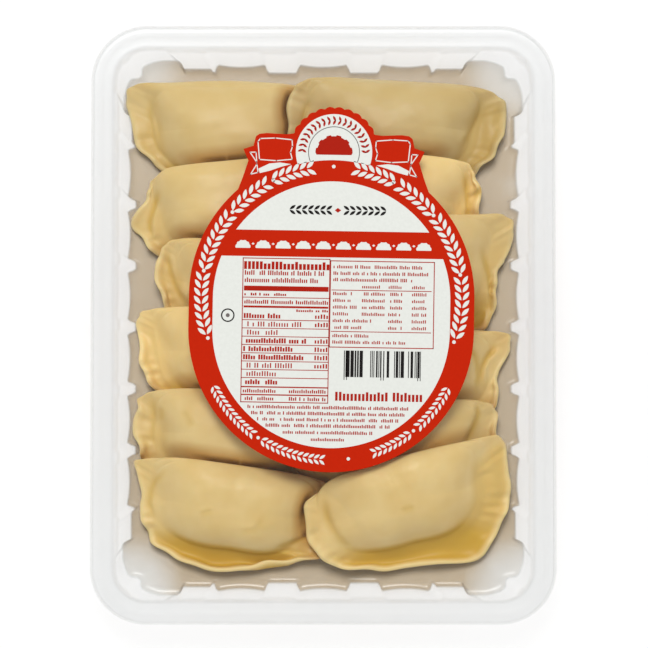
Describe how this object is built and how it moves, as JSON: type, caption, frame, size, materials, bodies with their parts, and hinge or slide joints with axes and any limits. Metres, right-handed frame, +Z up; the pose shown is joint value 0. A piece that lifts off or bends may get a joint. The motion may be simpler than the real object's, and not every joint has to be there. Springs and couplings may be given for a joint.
{
  "type": "pierogi dumplings in a clear lidded tray",
  "caption": "Shut clear plastic tray with fluted walls, domed lid and die-cut label, holding two shingled columns of half-moon filled dumplings.",
  "frame": {"origin": "centre of the pack's bounding box, at the height of the surface it lies on", "axes": "+Z up through the lid, +Y along the long side towards the label's badge, +X towards the right of the label"},
  "size_m": [0.191, 0.246, 0.036],
  "materials": {
    "clear_plastic": "clear, slightly milky thermoformed sheet",
    "label_card": "satin printed card, red fields on white",
    "dough": "soft cooked dough, cream with golden crimps"
  },
  "bodies": {
    "root": {"tray": "clear_plastic", "lid": "clear_plastic", "label": "label_card", "pierogi_01": "dough", "pierogi_02": "dough", "pierogi_03": "dough", "pierogi_04": "dough", "pierogi_05": "dough", "pierogi_06": "dough", "pierogi_07": "dough", "pierogi_08": "dough", "pierogi_09": "dough", "pierogi_10": "dough", "pierogi_11": "dough", "pierogi_12": "dough"}
  },
  "joints": []
}
